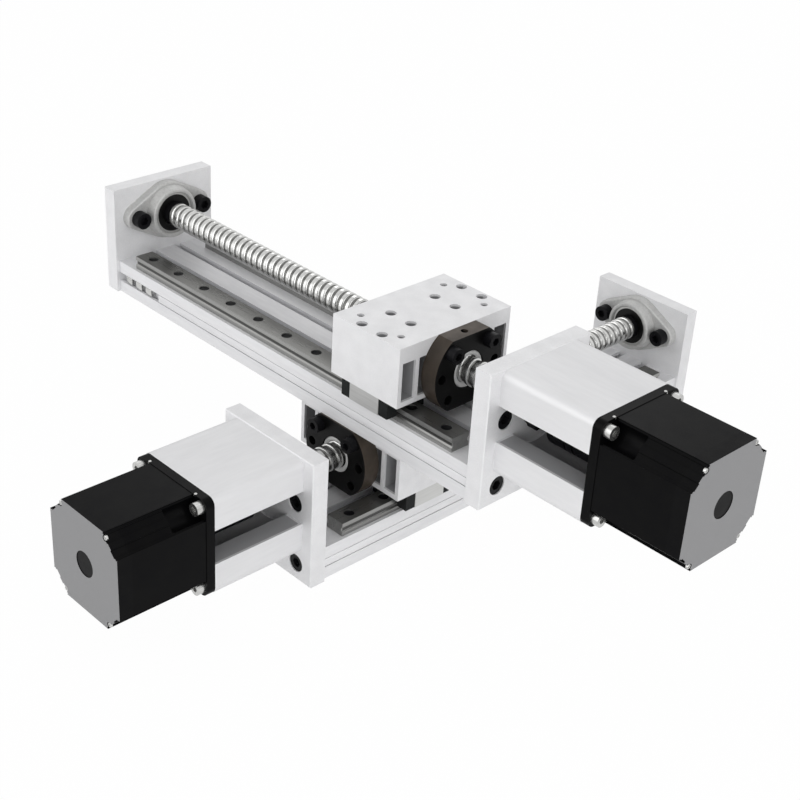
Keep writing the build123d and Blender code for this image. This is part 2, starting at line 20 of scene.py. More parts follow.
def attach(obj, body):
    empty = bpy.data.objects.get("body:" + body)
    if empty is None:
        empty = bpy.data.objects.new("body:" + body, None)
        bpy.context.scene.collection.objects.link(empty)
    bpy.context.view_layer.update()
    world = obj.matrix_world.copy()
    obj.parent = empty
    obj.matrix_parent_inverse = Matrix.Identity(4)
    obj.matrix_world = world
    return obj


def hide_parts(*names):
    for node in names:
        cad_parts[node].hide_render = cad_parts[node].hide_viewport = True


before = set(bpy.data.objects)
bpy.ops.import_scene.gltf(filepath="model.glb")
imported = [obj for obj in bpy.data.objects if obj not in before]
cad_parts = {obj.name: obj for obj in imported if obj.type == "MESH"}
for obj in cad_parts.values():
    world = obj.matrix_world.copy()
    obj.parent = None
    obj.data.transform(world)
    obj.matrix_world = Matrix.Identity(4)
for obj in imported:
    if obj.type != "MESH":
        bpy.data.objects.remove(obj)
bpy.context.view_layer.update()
log = logging.getLogger("cross_slide_table")

MM = 0.001
WHITE = (1.0, 1.0, 1.0, 1.0)
# Vertices nearer than this are merged
MERGE = 1e-6
# The outputs of a Texture Coordinate node
NORMAL_OUTPUT = 1
OBJECT_OUTPUT = 3
# The colour sockets of a Mix node
FIRST_COLOUR = 6
SECOND_COLOUR = 7
COLOUR_OUTPUT = 2
# The size of a normal's part along an axis, from where a face starts to count as square to it
SQUARE_TO = (0.80, 0.90)
# The numbers of the low and high corners in an object's bound_box
LOW_CORNER = 0
HIGH_CORNER = 6
# How much coarser the broad noise of a pattern is, the noise's range that it spreads, and its bump
BROAD_STEP = 12
PATTERN_RANGE = (0.35, 0.65)
BUMP_STRENGTH = 0.5

Point: TypeAlias = tuple[float, float, float]
Colour: TypeAlias = tuple[float, float, float]
Profile: TypeAlias = list[tuple[float, float]]
Value: TypeAlias = "Signal | float | tuple[float, ...] | list[float] | Vector"


class Pattern(Enum):
    """How a finish varies over its surface."""

    BRUSHED = "fine lines along the travel"
    GROUND = "finer and shorter lines along the travel"
    BLASTED = "an even fine grain"
    CAST = "a coarse soft grain"
    CLOUDED = "soft clouds of two tones"


class Travel(Enum):
    """The world axis that a module's carriage runs along."""

    ALONG_X = 0
    ALONG_Y = 1


class Facing(Enum):
    """The faces of a solid that take its finish's painted light and shade."""

    LEVEL = "those that look up or down"
    ENDS = "those square to the travel"


class Signal:
    """A value in a material's nodes, on which Python's operators add the Math nodes."""

    def __init__(self, graph: "Graph", socket: bpy.types.NodeSocket) -> None:
        """Wraps one output socket of a graph.

        Args:
            graph: The graph that the socket's node is in.
            socket: The output socket.
        """
        self.graph = graph
        self.socket = socket

    def _maths(self, operation: str, first: Value, second: Value) -> "Signal":
        """Adds one Math node.

        Args:
            operation: The Math node's operation.
            first: The first operand.
            second: The second operand.

        Returns:
            The node's result.
        """
        return self.graph.add("ShaderNodeMath", {"operation": operation}, {0: first, 1: second})

    def __add__(self, other: Value) -> "Signal":
        """Adds a number or another signal."""
        return self._maths("ADD", self, other)

    def __rsub__(self, other: Value) -> "Signal":
        """Takes this signal from a number."""
        return self._maths("SUBTRACT", other, self)

    def __mul__(self, other: Value) -> "Signal":
        """Multiplies by a number or another signal."""
        return self._maths("MULTIPLY", self, other)

    __radd__ = __add__
    __rmul__ = __mul__


class Graph:
    """The nodes of one material, world or lamp."""

    def __init__(self, tree: bpy.types.NodeTree) -> None:
        """Takes over a node tree.

        Args:
            tree: The tree.
        """
        self.tree = tree

    def add(
        self, kind: str, settings: dict[str, object], inputs: dict[str | int, Value], output: int = 0
    ) -> Signal:
        """Adds one node.

        Args:
            kind: The node's type.
            settings: Its settings, which are set first.
            inputs: Its sockets' values or links, by name or number.
            output: The number of the output to give back.

        Returns:
            The chosen output.
        """
        node = self.tree.nodes.new(kind)
        for name, setting in settings.items():
            setattr(node, name, setting)
        for name, value in inputs.items():
            self.join(node.inputs[name], value)
        return Signal(self, node.outputs[output])

    def join(self, socket: bpy.types.NodeSocket, value: Value) -> None:
        """Links a signal to a socket, or sets the socket's own value.

        Args:
            socket: The input socket.
            value: The signal or the value.
        """
        if isinstance(value, Signal):
            self.tree.links.new(value.socket, socket)
        else:
            socket.default_value = value

    def place(self) -> Signal:
        """The shaded point's place.

        Returns:
            The place in the row frame.
        """
        return self.add("ShaderNodeTexCoord", {}, {}, output=OBJECT_OUTPUT)

    def part(self, vector: Signal, axis: int) -> Signal:
        """One part of a vector.

        Args:
            vector: The vector.
            axis: 0, 1 or 2 for X, Y or Z.

        Returns:
            That part.
        """
        return self.add("ShaderNodeSeparateXYZ", {}, {0: vector}, output=axis)

    def noise(self, stretch: tuple[float, ...], detail: float = 3.0) -> Signal:
        """A noise in the row frame, from 0 to 1.

        Args:
            stretch: Its grains to the metre along X, Y and Z.
            detail: How many finer layers it has.

        Returns:
            The noise's value.
        """
        mapped = self.add("ShaderNodeMapping", {}, {"Vector": self.place(), "Scale": stretch})
        return self.add("ShaderNodeTexNoise", {}, {"Vector": mapped, "Scale": 1.0, "Detail": detail})

    def ramp(self, value: Signal, low: float, high: float) -> Signal:
        """Spreads a signal's range from low to high over 0 to 1.

        Args:
            value: The signal.
            low: The value that becomes 0.
            high: The value that becomes 1.

        Returns:
            The spread signal.
        """
        node = self.tree.nodes.new("ShaderNodeValToRGB")
        for element, position, grey in zip(node.color_ramp.elements, (low, high), (0.0, 1.0)):
            element.position = position
            element.color = (grey, grey, grey, 1.0)
        self.join(node.inputs["Fac"], value)
        return Signal(self, node.outputs[0])

    def blend(self, mask: Signal, first: Value, second: Value) -> Signal:
        """Mixes two colours by a mask.

        Args:
            mask: The mask.
            first: The colour where it is 0, as a red, green and blue or a signal.
            second: The colour where it is 1.

        Returns:
            The mixed colour.
        """
        ends = [value if isinstance(value, Signal) else (*value, 1.0) for value in (first, second)]
        inputs = {0: mask, FIRST_COLOUR: ends[0], SECOND_COLOUR: ends[1]}
        return self.add("ShaderNodeMix", {"data_type": "RGBA"}, inputs, output=COLOUR_OUTPUT)

    def facing(self, axis: int) -> Signal:
        """A mask that is 1 on the faces square to an axis of the row frame, and 0 on the rest.

        Args:
            axis: 0, 1 or 2 for X, Y or Z.

        Returns:
            The mask, which fades out where a face leans by 26 to 37 degrees.
        """
        normal = self.add("ShaderNodeTexCoord", {}, {}, output=NORMAL_OUTPUT)
        size = self.add("ShaderNodeMath", {"operation": "ABSOLUTE"}, {0: self.part(normal, axis)})
        return self.ramp(size, *SQUARE_TO)

    def inside(self, low: Vector, high: Vector, margin: float) -> Signal:
        """A mask that is 1 further than a margin inside a box's faces, and 0 outside that.

        Args:
            low: The box's low corner.
            high: Its high corner.
            margin: The margin in metres.

        Returns:
            The mask.
        """
        place = self.place()
        middle = (low + high) / 2
        reach = (high - low) / 2
        masks = [
            self.add(
                "ShaderNodeMath",
                {"operation": "COMPARE"},
                {0: self.part(place, axis), 1: middle[axis], 2: reach[axis] - margin},
            )
            for axis in range(3)
        ]
        return masks[0] * masks[1] * masks[2]

    def near_axis(self, low: Vector, high: Vector, travel: int, margin: float) -> Signal:
        """A mask that is 1 on the inner parts of a round solid, and 0 on its rim and two flats.

        Args:
            low: The low corner of the solid's box.
            high: The box's high corner.
            travel: The world axis that the solid is round about.
            margin: How far below the rim and flats the inner parts start, in metres.

        Returns:
            The mask.
        """
        middle = (low + high) / 2
        reach = (high - low) / 2
        across = [1.0, 1.0, 1.0]
        across[travel] = 0.0
        offset = self.add(
            "ShaderNodeVectorMath", {"operation": "SUBTRACT"}, {0: self.place(), 1: middle}
        )
        flat = self.add("ShaderNodeVectorMath", {"operation": "MULTIPLY"}, {0: offset, 1: across})
        far = self.add("ShaderNodeVectorMath", {"operation": "LENGTH"}, {0: flat}, output=1)
        # The flats are at the top and bottom, so the level axis across reaches to the rim
        rim = reach[1 - travel] - margin
        within_rim = self.add("ShaderNodeMath", {"operation": "LESS_THAN"}, {0: far, 1: rim})
        within_flats = self.add(
            "ShaderNodeMath",
            {"operation": "COMPARE"},
            {0: self.part(offset, 2), 1: 0.0, 2: reach.z - margin},
        )
        return within_rim * within_flats


@dataclass(frozen=True)
class Finish:
    """One finish: two near colours, a sheen and the pattern that varies them, with painted light and
    shade on some faces and in recesses.

    Attributes:
        name: The material's name.
        light: The colour on the pattern's high parts.
        dark: The colour on its low parts.
        metallic: How metallic it is.
        roughness: Its mean roughness.
        spread: How far the pattern moves the roughness.
        pattern: How it varies over the surface.
        relief: The pattern's height in metres.
        specular: The strength of the reflection off the parts that aren't metallic.
        painted_face_light: The colour painted on the faces that light shows apart, if some do: a dark
            reflection on the rails' tops, shade on the nut's ends, a sheen on the motor cover's ends.
        painted_face_light_on: Which faces those are.
        recess: The colour painted as shade on holes, pockets and inner walls, if they are darker; on
            the bearing's ring it is the black seal.
        depth: How far below the solid's outer faces the painted shade of its recesses starts, in
            metres.
        turned: Whether the solid is round about the travel, so that its painted shade lies near its
            axis.
    """

    name: str
    light: Colour
    dark: Colour
    metallic: float
    roughness: float
    spread: float
    pattern: Pattern
    relief: float
    specular: float = 0.5
    painted_face_light: Colour | None = None
    painted_face_light_on: Facing = Facing.LEVEL
    recess: Colour | None = None
    depth: float = 1.4 * MM
    turned: bool = False

    def grains(self, travel: Travel) -> list[float]:
        """Works out how fine the pattern is.

        Args:
            travel: The axis that its lines follow.

        Returns:
            Its grains to the metre along X, Y and Z.
        """
        along, across = {
            Pattern.BRUSHED: (60.0, 420.0),
            Pattern.GROUND: (60.0, 2600.0),
            Pattern.BLASTED: (1500.0, 1500.0),
            Pattern.CAST: (700.0, 700.0),
            Pattern.CLOUDED: (90.0, 90.0),
        }[self.pattern]
        grains = [across, across, across]
        grains[travel.value] = along
        return grains

    def build(self, travel: Travel, solid: bpy.types.Object | None = None) -> bpy.types.Material:
        """Makes the material, or finds it if it was made before.

        Args:
            travel: The axis that lines on the surface follow.
            solid: The solid that it goes on, whose holes, pockets and inner walls take the painted
                shade, and on the bearing's ring the seal's dark colour.

        Returns:
            The material.
        """
        title = f"{self.name}_{travel.name.lower()}"
        if solid and self.recess:
            title = f"{self.name}_{solid.name}"
        if title in bpy.data.materials:
            return bpy.data.materials[title]
        material = bpy.data.materials.new(title)
        material.use_nodes = True
        graph = Graph(material.node_tree)
        shader = material.node_tree.nodes["Principled BSDF"]
        grains = self.grains(travel)
        fine = graph.noise(tuple(grains))
        broad = graph.noise(tuple(grain / BROAD_STEP for grain in grains), detail=2.0)
        mask = graph.ramp(fine * 0.5 + broad * 0.5, *PATTERN_RANGE)
        colour = graph.blend(mask, self.dark, self.light)
        # Painted light on some faces: a dark reflection on the rails' tops, shade on the nut's ends and
        # a sheen on the motor cover's ends
        if self.painted_face_light:
            axis = 2 if self.painted_face_light_on is Facing.LEVEL else travel.value
            colour = graph.blend(graph.facing(axis), colour, self.painted_face_light)
        # Painted shade in holes, pockets and inner walls; on the bearing's ring this is the black
        # seal's colour
        if solid and self.recess:
            low, high = (Vector(solid.bound_box[number]) for number in (LOW_CORNER, HIGH_CORNER))
            if self.turned:
                shade_and_seal_mask = graph.near_axis(low, high, travel.value, self.depth)
            else:
                shade_and_seal_mask = graph.inside(low, high, self.depth)
            colour = graph.blend(shade_and_seal_mask, colour, self.recess)
        graph.join(shader.inputs["Base Color"], colour)
        graph.join(shader.inputs["Metallic"], self.metallic)
        graph.join(shader.inputs["Roughness"], self.roughness + self.spread * (1.0 - mask))
        graph.join(shader.inputs["Specular IOR Level"], self.specular)
        relief = {"Strength": BUMP_STRENGTH, "Distance": self.relief, "Height": fine}
        bump = graph.add("ShaderNodeBump", {}, relief)
        graph.join(shader.inputs["Normal"], bump)
        return material


EXTRUDED = Finish(
    name="extruded_aluminium",
    light=(0.80, 0.80, 0.81),
    dark=(0.72, 0.72, 0.735),
    metallic=0.30,
    roughness=0.50,
    spread=0.12,
    pattern=Pattern.BRUSHED,
    relief=2e-5,
    specular=0.2,
)
# Painted shade in the holes, pockets and inner walls of the plates, carriage and bearing cover
MACHINED = Finish(
    name="machined_aluminium",
    light=(0.79, 0.79, 0.80),
    dark=(0.73, 0.73, 0.74),
    metallic=0.30,
    roughness=0.52,
    spread=0.10,
    pattern=Pattern.BLASTED,
    relief=2e-5,
    specular=0.2,
    recess=(0.34, 0.34, 0.35),
)
COVER = replace(MACHINED, turned=True)
# Painted shade inside the bracket's window and holes
BRUSHED = Finish(
    name="brushed_aluminium",
    light=(0.75, 0.75, 0.76),
    dark=(0.71, 0.71, 0.72),
    metallic=0.30,
    roughness=0.50,
    spread=0.08,
    pattern=Pattern.BRUSHED,
    relief=1e-5,
    specular=0.2,
    recess=(0.40, 0.40, 0.41),
)
# The rails' tops take a darker colour as a painted dark reflection, and their holes and side grooves a
# painted shade
RAIL = Finish(
    name="rail_steel",
    light=(0.34, 0.34, 0.33),
    dark=(0.24, 0.24, 0.235),
    metallic=0.85,
    roughness=0.26,
    spread=0.12,
    pattern=Pattern.GROUND,
    relief=2e-5,
    painted_face_light=(0.230, 0.229, 0.222),
    recess=(0.07, 0.07, 0.068),
    depth=0.7 * MM,
)
BLOCK = Finish(
    name="block_steel",
    light=(0.62, 0.62, 0.61),
    dark=(0.52, 0.52, 0.51),
    metallic=0.70,
    roughness=0.32,
    spread=0.10,
    pattern=Pattern.GROUND,
    relief=2e-5,
)
BRIGHT = Finish(
    name="bright_steel",
    light=(0.62, 0.62, 0.61),
    dark=(0.48, 0.48, 0.47),
    metallic=0.95,
    roughness=0.22,
    spread=0.10,
    pattern=Pattern.GROUND,
    relief=1e-5,
)
LAND = replace(
    BRIGHT,
    name="screw_land",
    light=(0.68, 0.68, 0.67),
    dark=(0.54, 0.54, 0.53),
    roughness=0.16,
)
# The groove is painted darker than the lands: painted shade in the screw's groove
GROOVE_SHADE = replace(
    BRIGHT,
    name="screw_groove_shade",
    light=(0.20, 0.20, 0.195),
    dark=(0.12, 0.12, 0.115),
    metallic=0.90,
    roughness=0.20,
)
WIPER = Finish(
    name="nut_wiper",
    light=(0.74, 0.74, 0.73),
    dark=(0.68, 0.68, 0.67),
    metallic=0.10,
    roughness=0.50,
    spread=0.10,
    pattern=Pattern.BLASTED,
    relief=2e-5,
)
OXIDE = Finish(
    name="black_oxide",
    light=(0.008, 0.008, 0.009),
    dark=(0.004, 0.004, 0.005),
    metallic=0.0,
    roughness=0.34,
    spread=0.12,
    pattern=Pattern.BLASTED,
    relief=2e-5,
    specular=0.09,
)
# The ball nut's end faces, holes and bore are painted near black as shade
PHOSPHATE = Finish(
    name="dark_phosphate",
    light=(0.075, 0.060, 0.048),
    dark=(0.036, 0.030, 0.025),
    metallic=0.30,
    roughness=0.36,
    spread=0.16,
    pattern=Pattern.CLOUDED,
    relief=2e-5,
    specular=0.12,
    painted_face_light=(0.006, 0.006, 0.006),
    painted_face_light_on=Facing.ENDS,
    recess=(0.004, 0.004, 0.004),
    turned=True,
)
CASTING = Finish(
    name="grey_casting",
    light=(0.54, 0.54, 0.53),
    dark=(0.42, 0.42, 0.415),
    metallic=0.35,
    roughness=0.50,
    spread=0.14,
    pattern=Pattern.CAST,
    relief=7e-5,
)
RACE = Finish(
    name="insert_race",
    light=(0.50, 0.50, 0.49),
    dark=(0.40, 0.40, 0.39),
    metallic=0.70,
    roughness=0.30,
    spread=0.10,
    pattern=Pattern.GROUND,
    relief=1e-5,
    recess=(0.007, 0.007, 0.007),
    depth=1.3 * MM,
    turned=True,
)
MOULDED = replace(
    OXIDE,
    name="moulded_black",
    light=(0.014, 0.015, 0.015),
    dark=(0.008, 0.009, 0.009),
    roughness=0.40,
    specular=0.10,
)
MOTOR_BLACK = replace(
    OXIDE,
    name="motor_black",
    light=(0.003, 0.003, 0.003),
    dark=(0.0015, 0.0015, 0.002),
    roughness=0.28,
    specular=0.05,
)
# The grey on the end cover's end faces is a painted sheen on its black paint
MOTOR_END_SHEEN = replace(
    MOTOR_BLACK,
    name="motor_end_grey",
    roughness=0.42,
    spread=0.10,
    specular=0.06,
    painted_face_light=(0.265, 0.265, 0.27),
    painted_face_light_on=Facing.ENDS,
)

NODE_FINISHES = {
    "base_extrusion": EXTRUDED,
    "rail_left": RAIL,
    "rail_right": RAIL,
    "rail_screws": OXIDE,
    "rear_plate": MACHINED,
    "front_plate": MACHINED,
    "frame_screws": OXIDE,
    "flange_bearing_housing": CASTING,
    "flange_bearing_outer_ring": RACE,
    "flange_bolts": OXIDE,
    "front_bearing_outer_rings": BRIGHT,
    "bearing_cover": COVER,
    "motor_bracket": BRUSHED,
    "motor_flange": MOTOR_BLACK,
    "motor_body": MOTOR_BLACK,
    "motor_end_cover": MOTOR_END_SHEEN,
    "motor_screws": BRIGHT,
    "ball_screw": BRIGHT,
    "flange_bearing_inner_ring": OXIDE,
    "front_bearing_inner_rings": BRIGHT,
    "lock_nut": OXIDE,
    "shaft_coupling": OXIDE,
    "motor_shaft": BRIGHT,
    "carriage": MACHINED,
    "rail_block_left": BLOCK,
    "rail_block_right": BLOCK,
    "rail_block_caps": MOULDED,
    "rail_block_screws": BRIGHT,
    "ball_nut": PHOSPHATE,
    "nut_screws": OXIDE,
}


@dataclass(frozen=True)
class Module:
    """One slide module and where it stands.

    Attributes:
        name: The prefix of its nodes.
        origin: The middle of its base's underside, in the row frame.
        turn: How far it is turned about Z, in degrees.
        travel: The world axis of its travel.
        fixed: The body of its base.
        screw: The body of its screw.
        moving: The body of its carriage.
    """

    name: str
    origin: Point
    turn: float
    travel: Travel
    fixed: str
    screw: str
    moving: str

    def place(self) -> Matrix:
        """Works out where the module stands.

        Returns:
            The transform from its own frame to the row frame.
        """
        return Matrix.Translation(self.origin) @ Matrix.Rotation(math.radians(self.turn), 4, "Z")


LOWER = Module("lower", (0.0, 0.0, 0.0), -90.0, Travel.ALONG_Y, "base", "lower_screw", "cross")
UPPER = Module("upper", (-0.053, -0.078, 0.067), 0.0, Travel.ALONG_X, "cross", "upper_screw", "table")


class Bench:
    """Modelling steps that several pieces share."""

    @staticmethod
    def choose(*pieces: bpy.types.Object) -> None:
        """Selects some pieces alone and makes the first the active one.

        Args:
            pieces: The pieces, or none to clear the selection.
        """
        bpy.ops.object.select_all(action="DESELECT")
        for piece in pieces:
            piece.select_set(True)
        if pieces:
            bpy.context.view_layer.objects.active = pieces[0]

    @staticmethod
    def join(pieces: list[bpy.types.Object], name: str) -> bpy.types.Object:
        """Joins some pieces into one.

        Args:
            pieces: The pieces.
            name: The joined piece's name.

        Returns:
            The joined piece.
        """
        Bench.choose(*pieces)
        bpy.ops.object.join()
        pieces[0].name = name
        return pieces[0]

    @staticmethod
    def cube(size: Point, middle: Point = (0.0, 0.0, 0.0)) -> bpy.types.Object:
        """Adds a box.

        Args:
            size: Its size along x, y and z.
            middle: Its middle.

        Returns:
            The box.
        """
        Bench.choose()
        bpy.ops.mesh.primitive_cube_add(size=1.0, location=middle)
        piece = bpy.context.active_object
        piece.scale = size
        bpy.ops.object.transform_apply(location=True, rotation=False, scale=True)
        return piece

    @staticmethod
    def bevel(piece: bpy.types.Object, width: float, segments: int = 2) -> None:
        """Rounds a piece's sharp edges.

        Args:
            piece: The piece.
            width: The bevel's width.
            segments: The number of facets across it.
        """
        bevel = piece.modifiers.new("edges", "BEVEL")
        bevel.width = width
        bevel.segments = segments
        bevel.limit_method = "ANGLE"
        Bench.apply(piece)

    @staticmethod
    @contextmanager
    def editing(piece: bpy.types.Object, everything: bool = True) -> Iterator[None]:
        """Opens a piece in edit mode.

        Args:
            piece: The piece.
            everything: Whether all of it starts selected.

        Yields:
            Nothing; the piece is in edit mode inside.
        """
        Bench.choose(piece)
        bpy.ops.object.mode_set(mode="EDIT")
        bpy.ops.mesh.select_all(action="SELECT" if everything else "DESELECT")
        try:
            yield
        finally:
            bpy.ops.object.mode_set(mode="OBJECT")

    @staticmethod
    def pick_faces(piece: bpy.types.Object, wanted: Callable[[bmesh.types.BMFace], bool]) -> None:
        """Selects some faces of a piece that is in edit mode.

        Args:
            piece: The piece.
            wanted: The test that the selected faces pass.
        """
        mesh = bmesh.from_edit_mesh(piece.data)
        for face in mesh.faces:
            face.select_set(wanted(face))
        bmesh.update_edit_mesh(piece.data)

    @staticmethod
    def close_up() -> None:
        """Merges the doubled vertices of the piece in edit mode and turns its faces outwards."""
        bpy.ops.mesh.select_all(action="SELECT")
        bpy.ops.mesh.remove_doubles(threshold=MERGE)
        bpy.ops.mesh.normals_make_consistent(inside=False)

    @staticmethod
    def outline(name: str, profile: Profile) -> bpy.types.Object:
        """Draws a closed profile in the plane of x and y.

        Args:
            name: The piece's name.
            profile: The profile's (place along x, radius) points.

        Returns:
            The piece, a ring of edges.
        """
        Bench.choose()
        bpy.ops.mesh.primitive_circle_add(vertices=len(profile), radius=1.0)
        piece = bpy.context.active_object
        piece.name = name
        for vertex, (along, radius) in zip(piece.data.vertices, profile):
            vertex.co = (along, radius, 0.0)
        return piece

    @staticmethod
    def turned(name: str, profile: Profile, steps: int = 48) -> bpy.types.Object:
        """Spins a closed profile about the x axis.

        Args:
            name: The piece's name.
            profile: The profile's (place along x, radius) points.
            steps: The number of steps in the turn.

        Returns:
            The piece, in its module's frame.
        """
        piece = Bench.outline(name, profile)
        with Bench.editing(piece):
            bpy.ops.mesh.spin(steps=steps, angle=2 * math.pi, center=(0, 0, 0), axis=(1, 0, 0))
            Bench.close_up()
        return piece

    @staticmethod
    def smooth(piece: bpy.types.Object, angle: float = 35.0) -> None:
        """Shades a piece smooth.

        Args:
            piece: The piece.
            angle: The greatest angle in degrees between faces that are smoothed.
        """
        Bench.choose(piece)
        bpy.ops.object.shade_smooth_by_angle(angle=math.radians(angle))

    @staticmethod
    def apply(piece: bpy.types.Object) -> None:
        """Applies every modifier of a piece.

        Args:
            piece: The piece.
        """
        Bench.choose(piece)
        for modifier in list(piece.modifiers):
            bpy.ops.object.modifier_apply(modifier=modifier.name)

    @staticmethod
    def repeat(piece: bpy.types.Object, name: str, places: Iterable[Matrix]) -> bpy.types.Object:
        """Copies a piece to each place and joins the copies.

        Args:
            piece: The model, which isn't kept.
            name: The joined piece's name.
            places: A transform for each copy.

        Returns:
            The joined piece.
        """
        copies = []
        for place in places:
            copy = piece.copy()
            copy.data = piece.data.copy()
            copy.data.transform(place)
            bpy.context.scene.collection.objects.link(copy)
            copies.append(copy)
        bpy.data.objects.remove(piece)
        return Bench.join(copies, name)

    @staticmethod
    def deliver(
        piece: bpy.types.Object, module: Module, body: str, slot: str, finish: Finish
    ) -> bpy.types.Object:
        """Sets a finished piece in the row frame, dresses it and gives it to its body.

        Args:
            piece: The piece, in its module's frame.
            module: The module it belongs to.
            body: The body it rides on.
            slot: The record's material slot; not used.
            finish: Its finish.

        Returns:
            The piece.
        """
        piece.name = f"{module.name}_{piece.name}"
        piece.data.name = piece.name
        piece.data.transform(module.place() @ piece.matrix_world)
        piece.matrix_world = Matrix.Identity(4)
        piece.data.materials.clear()
        piece.data.materials.append(finish.build(module.travel))
        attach(piece, body)
        log.info("%s rides on %s, %d faces", piece.name, body, len(piece.data.polygons))
        return piece


@dataclass
class BallScrew:
    """The screw with its ball groove, between its journals, and the nut's wiper round it.

    Attributes:
        height: The axis above the base's underside.
        radius: The radius over the lands.
        lead: The groove's advance in one turn.
        ball_radius: The radius of the balls that the groove fits.
        groove_depth: The groove's depth.
        groove_edge: The slope's width between the groove and the land.
        groove_facets: The number of facets across the groove.
        start: Where the groove starts.
        end: Where it ends.
        steps: The number of faces in a turn.
        journals: The (start, end, radius) of each plain length.
        end_bevel: The bevel at each end of those.
        land_depth: How far below the lands the groove's painted shade starts.
        nut_face: The nut's outer face, along the travel.
        wiper_depth: How deep the wiper's recess is.
        wiper_outer: The wiper's outer radius.
        wiper_inner: The radius of its lip.
        wiper_sink: How far its face is below the nut's.
        wiper_gap: How far its back is off the recess's floor.
        wiper_bevel: The bevel at its outer edge.
        wiper_lip: The thickness of its lip, along the travel and across.
    """

    height: float = 47 * MM
    radius: float = 7.5 * MM
    lead: float = 5 * MM
    ball_radius: float = 1.6 * MM
    groove_depth: float = 1.15 * MM
    groove_edge: float = 0.18 * MM
    groove_facets: int = 8
    start: float = -135.5 * MM
    end: float = 145.9 * MM
    steps: int = 32
    journals: tuple[Point, ...] = (
        (-158 * MM, -135.5 * MM, 5 * MM),
        (145.9 * MM, 166 * MM, 6 * MM),
        (166 * MM, 190 * MM, 5 * MM),
    )
    end_bevel: float = 0.5 * MM
    land_depth: float = 0.55 * MM
    nut_face: float = 113 * MM
    wiper_depth: float = 2 * MM
    wiper_outer: float = 10.3 * MM
    wiper_inner: float = 7.75 * MM
    wiper_sink: float = 0.4 * MM
    wiper_gap: float = 0.05 * MM
    wiper_bevel: float = 0.4 * MM
    wiper_lip: float = 0.5 * MM

    def profile(self) -> Profile:
        """The groove's profile over one lead.

        Returns:
            Its (place, radius) points.
        """
        middle = self.lead / 2
        inset = self.ball_radius - self.groove_depth
        half = math.sqrt(self.ball_radius**2 - inset**2)
        points = [(0.0, self.radius), (middle - half - self.groove_edge, self.radius)]
        for index in range(self.groove_facets + 1):
            along = half * math.sin(math.pi * (index / self.groove_facets - 0.5))
            depth = math.sqrt(self.ball_radius**2 - along**2) - inset
            points.append((middle + along, self.radius - depth))
        points.append((middle + half + self.groove_edge, self.radius))
        points.append((self.lead, self.radius))
        return points

    def thread(self) -> bpy.types.Object:
        """Winds the groove's profile into the threaded length.

        Returns:
            The threaded length, about the x axis.
        """
        before = self.start - self.lead
        profile = [(before + along, radius) for along, radius in self.profile()]
        piece = Bench.outline("screw_thread", profile)
        with Bench.editing(piece, everything=False):
            mesh = bmesh.from_edit_mesh(piece.data)
            mesh.edges.ensure_lookup_table()
            closing = max(mesh.edges, key=lambda edge: edge.calc_length())
            mesh.edges.remove(closing)
            bmesh.update_edit_mesh(piece.data)
        wind = piece.modifiers.new("wind", "SCREW")
        wind.axis = "X"
        wind.angle = 2 * math.pi
        wind.screw_offset = self.lead
        # One turn more at each end, so that both ends can be cut square
        wind.iterations = math.ceil((self.end - self.start) / self.lead) + 2
        wind.steps = self.steps
        wind.render_steps = self.steps
        wind.use_merge_vertices = True
        wind.merge_threshold = MERGE
        Bench.apply(piece)
        for place, side in ((self.start, -1.0), (self.end, 1.0)):
            with Bench.editing(piece):
                bpy.ops.mesh.bisect(
                    plane_co=(place, 0, 0), plane_no=(side, 0, 0), use_fill=True, clear_outer=True
                )
        with Bench.editing(piece):
            Bench.close_up()
        Bench.smooth(piece, 40.0)
        return piece

    def plain_lengths(self) -> bpy.types.Object:
        """The screw's journals, each with bevelled ends.

        Returns:
            The journals, about the x axis.
        """
        pieces = []
        for start, end, radius in self.journals:
            bevel = self.end_bevel
            profile = [
                (start, 0.0),
                (start, radius - bevel),
                (start + bevel, radius),
                (end - bevel, radius),
                (end, radius - bevel),
                (end, 0.0),
            ]
            pieces.append(Bench.turned("journal", profile))
        joined = Bench.join(pieces, "screw_journals")
        Bench.smooth(joined)
        return joined

    def wiper(self) -> bpy.types.Object:
        """The bright wiper ring in the nut's recess, with its lip turned towards the screw.

        Returns:
            The ring, about the x axis.
        """
        face = self.nut_face - self.wiper_sink
        back = self.nut_face - self.wiper_depth + self.wiper_gap
        outer, inner = self.wiper_outer, self.wiper_inner
        bevel, lip = self.wiper_bevel, self.wiper_lip
        profile = [
            (back, inner + lip),
            (back, outer),
            (face - bevel, outer),
            (face, outer - bevel),
            (face, inner + lip + bevel),
            (face - lip, inner),
            (face - 2 * lip, inner),
        ]
        ring = Bench.turned("nut_wiper", profile)
        Bench.smooth(ring)
        return ring

    def build(self, module: Module) -> None:
        """Models the screw and wiper of a module and gives them to their bodies.

        Args:
            module: The module.
        """
        rise = Matrix.Translation((0.0, 0.0, self.height))
        thread = self.thread()
        in_groove_shade = [
            math.hypot(face.center.y, face.center.z) < self.radius - self.land_depth
            for face in thread.data.polygons
        ]
        for piece in (thread, self.plain_lengths()):
            piece.data.transform(rise)
            Bench.deliver(piece, module, module.screw, "bearing_steel", LAND)
        # The faces deep in the groove take the painted shade
        thread.data.materials.append(GROOVE_SHADE.build(module.travel))
        thread.data.polygons.foreach_set("material_index", in_groove_shade)
        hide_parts(f"{module.name}_ball_screw")
        wiper = self.wiper()
        wiper.data.transform(rise)
        Bench.deliver(wiper, module, module.moving, "bearing_steel", WIPER)


